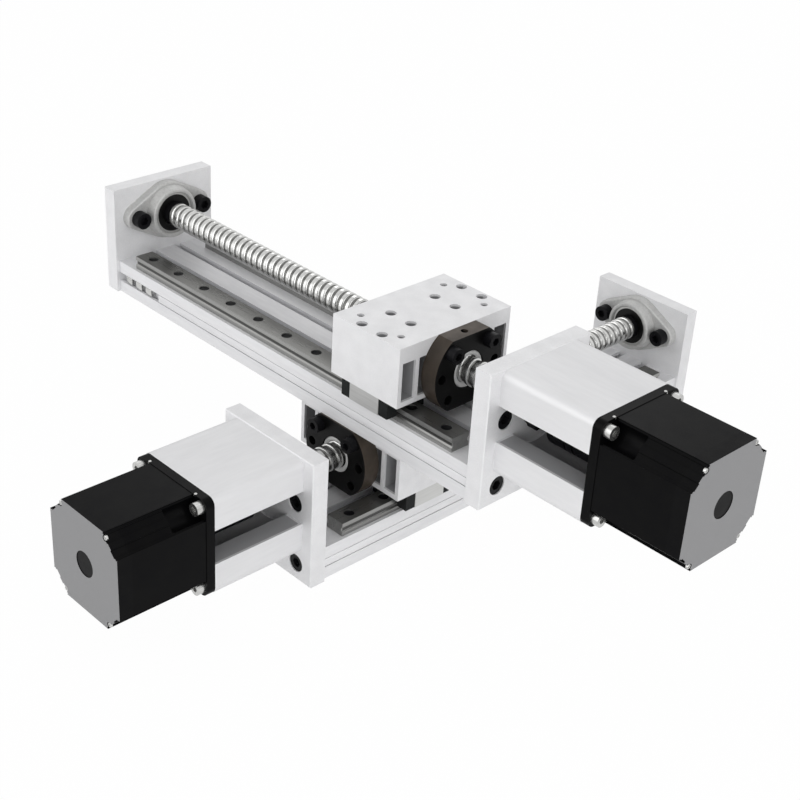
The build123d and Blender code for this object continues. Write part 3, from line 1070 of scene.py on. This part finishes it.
@dataclass
class MotorTrim:
    """The small screws in the notches of the motor's end cover, their front ends, and the cover's disc.

    Attributes:
        height: The motor's axis above the base's underside.
        start: The motor's mounting face.
        end: The outer face of the end cover.
        across: The screws' distance from the axis, across.
        up: Their distance from it, up and down.
        head_radius: The radius of a screw's head.
        head_sink: How far the head's face is below the cover's.
        head_seat: How far its back is below it.
        head_bevel: The bevel at its edge.
        head_facets: The number of facets round it.
        socket_radius: The radius of its socket at the face.
        socket_floor_radius: The socket's radius at its floor.
        socket_depth: How far that floor is below the cover's face.
        stud_radius: The radius of a screw's front end, which shows in the flange's edge.
        stud_facets: The numbers of facets round it and from pole to pole.
        stud_along: That end's distance from the mounting face.
        stud_up: Its distance from the axis.
        disc_radius: The radius of the dark disc over the shaft's end.
        disc_face: How far its face is below the cover's.
        disc_seat: How far its back is below it.
        disc_bevel: The bevel at its edge.
    """

    height: float = 47 * MM
    start: float = 216 * MM
    end: float = 272 * MM
    across: float = 18.8 * MM
    up: float = 25.3 * MM
    head_radius: float = 1.35 * MM
    head_sink: float = 0.2 * MM
    head_seat: float = 1.2 * MM
    head_bevel: float = 0.2 * MM
    head_facets: int = 24
    socket_radius: float = 0.675 * MM
    socket_floor_radius: float = 0.567 * MM
    socket_depth: float = 0.6 * MM
    stud_radius: float = 1.1 * MM
    stud_facets: tuple[int, int] = (20, 12)
    stud_along: float = 4.0 * MM
    stud_up: float = 27.8 * MM
    disc_radius: float = 6.9 * MM
    disc_face: float = 0.25 * MM
    disc_seat: float = 0.78 * MM
    disc_bevel: float = 0.2 * MM

    def head(self) -> bpy.types.Object:
        """One screw head with its round socket, sunk in the cover.

        Returns:
            The head, about the x axis, with x = 0 at the cover's face.
        """
        top, radius = -self.head_sink, self.head_radius
        profile = [
            (-self.head_seat, 0.0),
            (-self.head_seat, radius),
            (top - self.head_bevel, radius),
            (top, radius - self.head_bevel),
            (top, self.socket_radius),
            (-self.socket_depth, self.socket_floor_radius),
            (-self.socket_depth, 0.0),
        ]
        piece = Bench.turned("end_screws", profile, steps=self.head_facets)
        Bench.smooth(piece)
        return piece

    def disc(self) -> bpy.types.Object:
        """The dark disc in the middle of the end cover.

        Returns:
            The disc, about the x axis, with x = 0 at the cover's face.
        """
        profile = [
            (-self.disc_seat, 0.0),
            (-self.disc_seat, self.disc_radius),
            (-self.disc_face - self.disc_bevel, self.disc_radius),
            (-self.disc_face, self.disc_radius - self.disc_bevel),
            (-self.disc_face, 0.0),
        ]
        piece = Bench.turned("end_disc", profile)
        Bench.smooth(piece)
        return piece

    def stud(self) -> bpy.types.Object:
        """The rounded front end of one screw.

        Returns:
            The end, round its own middle.
        """
        around, between = self.stud_facets
        Bench.choose()
        bpy.ops.mesh.primitive_uv_sphere_add(
            segments=around, ring_count=between, radius=self.stud_radius
        )
        piece = bpy.context.active_object
        Bench.smooth(piece, 60.0)
        return piece

    def build(self, module: Module) -> None:
        """Sets the screws' heads and front ends and the disc on a module's motor.

        Args:
            module: The module.
        """
        places = [
            Matrix.Translation((self.end, side * self.across, self.height + level * self.up))
            for side in (-1, 1)
            for level in (-1, 1)
        ]
        screws = Bench.repeat(self.head(), "end_screws", places)
        Bench.deliver(screws, module, module.fixed, "bright_screws", BRIGHT)
        along, level = self.start + self.stud_along, self.height + self.stud_up
        rows = [Matrix.Translation((along, side * self.across, level)) for side in (-1, 1)]
        studs = Bench.repeat(self.stud(), "screw_ends", rows)
        Bench.deliver(studs, module, module.fixed, "bright_screws", BRIGHT)
        disc = self.disc()
        disc.data.transform(Matrix.Translation((self.end, 0.0, self.height)))
        Bench.deliver(disc, module, module.fixed, "motor_black", MOTOR_BLACK)


@dataclass
class SlotNuts:
    """The nuts left in a base's side slot beside its rear plate.

    Attributes:
        places: Each nut's place along the travel.
        length: A nut's length.
        face: The depth of its outer face, from the middle of the base.
        neck: Its width in the slot's mouth.
        level: The slot's middle above the base's underside.
        thickness: Its thickness.
        border: The width of its face round the sunk screw.
        socket_slope: The width of the slope into the socket.
        socket_depth: The socket's depth.
        bevel: The bevel on its edges.
    """

    places: tuple[float, ...] = (-141 * MM, -131 * MM, -121 * MM)
    length: float = 6.0 * MM
    face: float = 33.4 * MM
    neck: float = 4.2 * MM
    level: float = 10 * MM
    thickness: float = 2.6 * MM
    border: float = 0.9 * MM
    socket_slope: float = 0.15 * MM
    socket_depth: float = 0.5 * MM
    bevel: float = 0.25 * MM

    def nut(self) -> bpy.types.Object:
        """One nut: a bevelled bar with a sunk screw in its middle.

        Returns:
            The nut, with its outer face on y = 0 looking towards -y.
        """
        piece = Bench.cube((self.length, self.thickness, self.neck), (0.0, self.thickness / 2, 0.0))
        with Bench.editing(piece, everything=False):
            Bench.pick_faces(piece, lambda face: face.normal.y < -SQUARE_TO[1])
            bpy.ops.mesh.inset(thickness=self.border, depth=0.0)
            bpy.ops.mesh.inset(thickness=self.socket_slope, depth=-self.socket_depth)
        Bench.bevel(piece, self.bevel)
        Bench.smooth(piece)
        return piece

    def build(self, module: Module) -> None:
        """Sets the nuts in the side slot of a module.

        Args:
            module: The module.
        """
        places = [Matrix.Translation((along, -self.face, self.level)) for along in self.places]
        nuts = Bench.repeat(self.nut(), "slot_nuts", places)
        Bench.deliver(nuts, module, module.fixed, "bright_screws", BRIGHT)


@dataclass
class RailHoleShades:
    """Dark discs sunk in the rails' screw holes, as painted shade for the holes' dark insides.

    Attributes:
        pitch: The holes' pitch.
        count: The number of holes in a rail.
        aside: The rails' distance from the module's middle.
        bottom: The discs' underside above the base's underside.
        top: Their top.
        radius: A disc's radius.
        facets: The number of facets round it.
    """

    pitch: float = 25 * MM
    count: int = 11
    aside: float = 26 * MM
    bottom: float = 26.6 * MM
    top: float = 27.3 * MM
    radius: float = 2.9 * MM
    facets: int = 32

    def build(self, module: Module) -> None:
        """Sets the dark shade discs in the holes of both rails of a module.

        Args:
            module: The module.
        """
        Bench.choose()
        thickness = self.top - self.bottom
        bpy.ops.mesh.primitive_cylinder_add(
            vertices=self.facets, radius=self.radius, depth=thickness
        )
        shade_disc = bpy.context.active_object
        level = (self.bottom + self.top) / 2
        first = -(self.count - 1) / 2 * self.pitch
        places = [
            Matrix.Translation((first + index * self.pitch, side * self.aside, level))
            for index in range(self.count)
            for side in (-1, 1)
        ]
        # Dark discs that stand in as painted shade inside the rails' holes
        shade_discs = Bench.repeat(shade_disc, "rail_caps", places)
        Bench.smooth(shade_discs)
        Bench.deliver(shade_discs, module, module.fixed, "cap_plastic", OXIDE)


@dataclass
class SlotCovers:
    """The flush strips that fill a base's side slots.

    Attributes:
        start: Where the strips start along the travel.
        end: Where they end.
        face: Their outer face, from the middle of the base.
        level: Their middle above the base's underside.
        width: A strip's width, up and down.
        thickness: Its thickness.
        bevel: The bevel on its edges.
    """

    start: float = -110 * MM
    end: float = 149.8 * MM
    face: float = 33.95 * MM
    level: float = 10 * MM
    width: float = 4.7 * MM
    thickness: float = 1.4 * MM
    bevel: float = 0.2 * MM

    def build(self, module: Module) -> None:
        """Fills both side slots of a module.

        Args:
            module: The module.
        """
        strip = Bench.cube((self.end - self.start, self.thickness, self.width))
        Bench.bevel(strip, self.bevel)
        along = (self.start + self.end) / 2
        aside = self.face - self.thickness / 2
        places = [Matrix.Translation((along, side * aside, self.level)) for side in (-1, 1)]
        strips = Bench.repeat(strip, "slot_covers", places)
        Bench.smooth(strips)
        Bench.deliver(strips, module, module.fixed, "extrusion", EXTRUDED)


@dataclass(frozen=True)
class Lamp:
    """One soft square lamp.

    Attributes:
        name: Its name.
        place: Its middle.
        size: The length of its side.
        power: Its power in watts.
        aim: The point that it looks at.
    """

    name: str
    place: Point
    size: float
    power: float
    aim: Point = (0.0, -0.05, 0.05)

    def build(self) -> None:
        """Hangs the lamp in the scene."""
        lamp = bpy.data.lights.new(self.name, "AREA")
        lamp.shape = "SQUARE"
        lamp.size = self.size
        lamp.energy = self.power
        holder = bpy.data.objects.new(self.name, lamp)
        ahead = Vector(self.aim) - Vector(self.place)
        turn = ahead.to_track_quat("-Z", "Y").to_matrix().to_4x4()
        holder.matrix_world = Matrix.Translation(self.place) @ turn
        bpy.context.scene.collection.objects.link(holder)


@dataclass
class Studio:
    """The floor, light and camera.

    Attributes:
        camera_place: The camera's place in the row frame.
        azimuth: The view's azimuth in degrees, from -Y towards +X.
        elevation: The view's elevation in degrees.
        roll: The camera's roll in degrees.
        focal_pixels: The focal length in pixels of the picture.
        picture_pixels: The picture's width.
        sensor: The camera's sensor width in millimetres.
        near: The distance from which the camera sees.
        background: The share of plain white that the camera sees on the floor.
        ambient: The strength of the world's soft light.
        floor_size: The floor's width.
        floor_level: The floor's height, a little below the underside.
        floor_grey: The grey that the floor throws back.
        lamps: The lamps.
    """

    camera_place: Point = (0.5120, -0.5818, 0.4792)
    azimuth: float = 44.77
    elevation: float = 29.71
    roll: float = 3.60
    focal_pixels: float = 1505.4
    picture_pixels: float = 800.0
    sensor: float = 36.0
    near: float = 10 * MM
    background: float = 0.98
    ambient: float = 0.57
    floor_size: float = 30.0
    floor_level: float = -0.2 * MM
    floor_grey: float = 0.9
    lamps: tuple[Lamp, ...] = field(
        default=(
            Lamp("key", (-0.9, -2.0, 0.9), 2.2, 17.5),
            Lamp("right", (2.0, -0.4, 0.8), 1.8, 12.0),
            Lamp("low", (1.4, -1.4, 0.5), 1.0, 7.0),
            Lamp("top", (0.2, 0.3, 2.0), 0.9, 1.4),
            Lamp("back", (-1.25, 1.2, 1.2), 0.8, 2.6),
        )
    )

    def camera(self) -> None:
        """Sets the camera at the photograph's viewing angle."""
        angles = (self.azimuth, self.elevation, self.roll)
        turn, lift, roll = (math.radians(angle) for angle in angles)
        away = math.cos(lift)
        back = Vector((math.sin(turn) * away, -math.cos(turn) * away, math.sin(lift)))
        level = Vector((math.cos(turn), math.sin(turn), 0.0))
        upright = back.cross(level)
        right = math.cos(roll) * level + math.sin(roll) * upright
        up = math.cos(roll) * upright - math.sin(roll) * level
        data = bpy.data.cameras.new("camera")
        data.sensor_width = self.sensor
        data.lens = self.focal_pixels / self.picture_pixels * self.sensor
        data.clip_start = self.near
        camera = bpy.data.objects.new("camera", data)
        axes = Matrix((right, up, back)).transposed().to_4x4()
        camera.matrix_world = Matrix.Translation(self.camera_place) @ axes
        bpy.context.scene.collection.objects.link(camera)
        bpy.context.scene.camera = camera

    @staticmethod
    def plain_rays(graph: Graph) -> Signal:
        """Tells the rays that see plain white from those that light the table.

        Args:
            graph: The graph that it is for.

        Returns:
            1 for camera, glossy and transmission rays and 0 for the rest.
        """
        path = graph.tree.nodes.new("ShaderNodeLightPath")
        kinds = ("Camera", "Glossy", "Transmission")
        rays = [Signal(graph, path.outputs[f"Is {kind} Ray"]) for kind in kinds]
        total = rays[0] + rays[1] + rays[2]
        return graph.add("ShaderNodeMath", {"operation": "MINIMUM"}, {0: total, 1: 1.0})

    def floor(self) -> None:
        """Lays the pale floor, which keeps the table's shadow."""
        Bench.choose()
        bpy.ops.mesh.primitive_plane_add(size=self.floor_size, location=(0.0, 0.0, self.floor_level))
        floor = bpy.context.active_object
        floor.name = "floor"
        material = bpy.data.materials.new("floor")
        material.use_nodes = True
        graph = Graph(material.node_tree)
        material.node_tree.nodes.remove(material.node_tree.nodes["Principled BSDF"])
        grey = (self.floor_grey, self.floor_grey, self.floor_grey, 1.0)
        matte = graph.add("ShaderNodeBsdfDiffuse", {}, {"Color": grey})
        white = graph.add("ShaderNodeEmission", {}, {"Color": WHITE, "Strength": 1.0})
        share = self.plain_rays(graph) * self.background
        mixed = graph.add("ShaderNodeMixShader", {}, {0: share, 1: matte, 2: white})
        graph.join(material.node_tree.nodes["Material Output"].inputs["Surface"], mixed)
        floor.data.materials.append(material)

    def light(self) -> None:
        """Lights the table softly, with white behind it."""
        world = bpy.data.worlds.new("world")
        world.use_nodes = True
        bpy.context.scene.world = world
        graph = Graph(world.node_tree)
        strength = self.ambient + self.plain_rays(graph) * (1.0 - self.ambient)
        background = world.node_tree.nodes["Background"]
        background.inputs["Color"].default_value = WHITE
        graph.join(background.inputs["Strength"], strength)
        for lamp in self.lamps:
            lamp.build()

    def build(self) -> None:
        """Sets up the whole studio and the plain view of colours."""
        self.camera()
        self.floor()
        self.light()
        bpy.context.scene.view_settings.view_transform = "Standard"


def dress_solids(modules: Iterable[Module]) -> None:
    """Gives every solid of the frame its finish.

    Args:
        modules: The modules whose solids are dressed.
    """
    for module in modules:
        for name, finish in NODE_FINISHES.items():
            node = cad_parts[f"{module.name}_{name}"]
            if not node.material_slots:
                node.data.materials.append(None)
            for slot in node.material_slots:
                slot.material = finish.build(module.travel, node)


def main() -> None:
    """Builds the table's pieces in order, then the studio round it."""
    logging.basicConfig(level=logging.INFO, format="%(message)s")
    dress_solids((LOWER, UPPER))
    for module in (LOWER, UPPER):
        BallScrew().build(module)
        MotorTrim().build(module)
        RailHoleShades().build(module)
    # The lower module has no loose nuts beside its rear plate, so its strips run to it
    SlotCovers(start=-149.8 * MM).build(LOWER)
    SlotCovers().build(UPPER)
    SlotNuts().build(UPPER)
    Studio().build()


if __name__ == "__main__":
    main()
